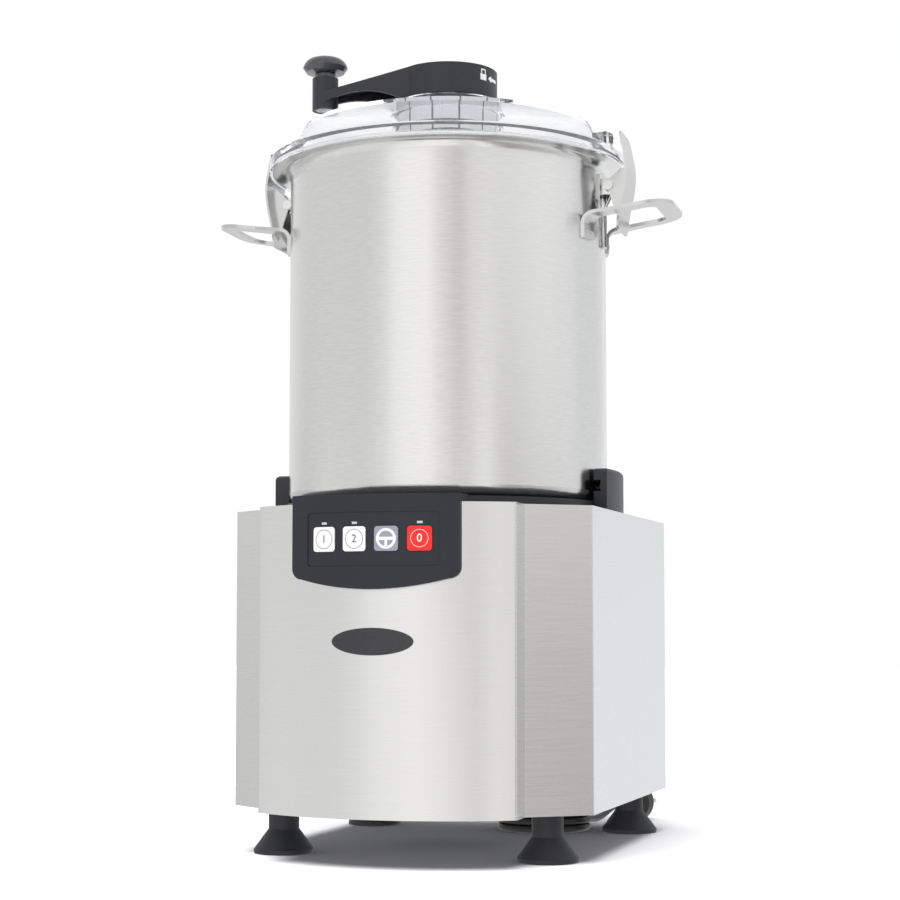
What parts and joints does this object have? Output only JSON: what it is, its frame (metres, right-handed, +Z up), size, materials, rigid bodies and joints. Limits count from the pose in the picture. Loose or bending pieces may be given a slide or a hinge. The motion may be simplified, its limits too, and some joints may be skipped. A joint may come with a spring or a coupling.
{
  "type": "food cutter mixer",
  "caption": "Upright food cutter mixer: folded steel base with control panel, tall drawn bowl with clipped clear lid, hand-cranked scraper, sickle blades and a mains lead.",
  "frame": {"origin": "on the floor under the middle of the unit's box, the free cord and plug left out", "axes": "+Z up along the bowl and the motor shaft, -Y towards the control panel, +X to the panel's right"},
  "size_m": [0.414, 0.5248, 0.6995],
  "materials": {
    "brushed_stainless": "brushed",
    "ground_steel": "ground",
    "zinc_steel": "zinc plated",
    "charcoal_plastic": "fine grain",
    "oval_badge": "gloss, left blank",
    "black_rubber": "satin",
    "plug_brass": "nickel plated",
    "cast_aluminium": "as cast",
    "laminated_iron": "varnished",
    "fan_plastic": "moulded",
    "clear_lid": "clear polycarbonate, polished",
    "gasket_rubber": "translucent silicone",
    "frosted_plastic": "translucent grey",
    "magnet_cap": "moulded",
    "white_key": "satin",
    "grey_key": "satin",
    "red_key": "satin",
    "pale_lens": "clear, unlit",
    "circuit_board": "varnished",
    "wiper_plastic": "natural"
  },
  "bodies": {
    "base": {"wrap_cover": "brushed_stainless", "rear_panel": "brushed_stainless", "bottom_plate": "zinc_steel", "top_deck": "charcoal_plastic", "lock_posts": "charcoal_plastic", "badge_plate": "oval_badge", "rubber_feet": "black_rubber", "motor_plate": "zinc_steel", "chassis_pillars": "zinc_steel", "motor_housing": "cast_aluminium", "stator_pack": "laminated_iron", "upper_end_bell": "cast_aluminium", "lower_end_bell": "cast_aluminium", "bearings": "zinc_steel", "shaft_seal": "black_rubber", "run_capacitor": "cast_aluminium", "interlock_switch": "fan_plastic", "panel_bezel": "charcoal_plastic", "panel_field": "charcoal_plastic", "indicator_lenses": "pale_lens", "control_board": "circuit_board", "foot_screws": "zinc_steel", "machine_screws": "zinc_steel", "cord_coil": "black_rubber", "cord_gland": "black_rubber", "mains_cord": "black_rubber", "plug_lead": "black_rubber", "plug_body": "black_rubber", "plug_pins": "plug_brass"},
    "cutter": {"motor_shaft": "ground_steel", "rotor": "laminated_iron", "motor_fan": "fan_plastic", "cutter_hub": "brushed_stainless", "lower_blade": "ground_steel", "upper_blade": "ground_steel", "blade_spacers": "ground_steel", "hub_nut": "ground_steel"},
    "speed_one_key": {"speed_one_button": "white_key"},
    "speed_two_key": {"speed_two_button": "white_key"},
    "pulse_key": {"pulse_button": "grey_key"},
    "stop_key": {"stop_button": "red_key"},
    "bowl_unit": {"bowl": "brushed_stainless", "lock_pins": "ground_steel", "handles": "brushed_stainless", "clip_brackets": "brushed_stainless", "clip_pins": "ground_steel", "clip_springs": "zinc_steel"},
    "clip_right": {"clip_lever_right": "brushed_stainless"},
    "clip_left": {"clip_lever_left": "brushed_stainless"},
    "lid_unit": {"lid": "clear_lid", "lid_gasket": "gasket_rubber", "lid_boss": "frosted_plastic", "boss_screws": "zinc_steel", "lid_magnet": "magnet_cap"},
    "crank_unit": {"crank": "charcoal_plastic", "knob_axle": "ground_steel", "scraper_shaft": "ground_steel", "scraper": "brushed_stainless", "wall_wipers": "wiper_plastic"},
    "knob_unit": {"knob": "charcoal_plastic"}
  },
  "joints": [
    {"name": "cutter_spin", "type": "hinge", "parent": "base", "child": "cutter", "pos_m": [0, -0.00285, 0.3], "axis": [0, 0, 1], "continuous": true},
    {"name": "speed_one_press", "type": "slide", "parent": "base", "child": "speed_one_key", "axis": [0, 1, 0], "range_m": [0, 0.0018], "stiffness_N_per_m": 400},
    {"name": "speed_two_press", "type": "slide", "parent": "base", "child": "speed_two_key", "axis": [0, 1, 0], "range_m": [0, 0.0018], "stiffness_N_per_m": 400},
    {"name": "pulse_press", "type": "slide", "parent": "base", "child": "pulse_key", "axis": [0, 1, 0], "range_m": [0, 0.0018], "stiffness_N_per_m": 400},
    {"name": "stop_press", "type": "slide", "parent": "base", "child": "stop_key", "axis": [0, 1, 0], "range_m": [0, 0.0018], "stiffness_N_per_m": 400},
    {"name": "bowl_turn", "type": "hinge", "parent": "base", "child": "bowl_unit", "pos_m": [0, -0.00285, 0.3], "axis": [0, 0, 1], "range_deg": [-16, 0]},
    {"name": "clip_right_swing", "type": "hinge", "parent": "bowl_unit", "child": "clip_right", "pos_m": [0.14795, 0.00102, 0.572], "axis": [-0.0262, 0.9997, 0], "range_deg": [0, 18], "stiffness_Nm_per_rad": 0.05},
    {"name": "clip_left_swing", "type": "hinge", "parent": "bowl_unit", "child": "clip_left", "pos_m": [-0.14795, -0.00672, 0.572], "axis": [0.0262, -0.9997, 0], "range_deg": [0, 18], "stiffness_Nm_per_rad": 0.05},
    {"name": "lid_lift", "type": "slide", "parent": "bowl_unit", "child": "lid_unit", "axis": [0, 0, 1], "range_m": [0, 0.3]},
    {"name": "crank_spin", "type": "hinge", "parent": "lid_unit", "child": "crank_unit", "pos_m": [0, -0.00285, 0.65], "axis": [0, 0, 1], "continuous": true},
    {"name": "knob_spin", "type": "hinge", "parent": "crank_unit", "child": "knob_unit", "pos_m": [-0.10491, -0.03593, 0.69], "axis": [0, 0, 1], "continuous": true}
  ]
}
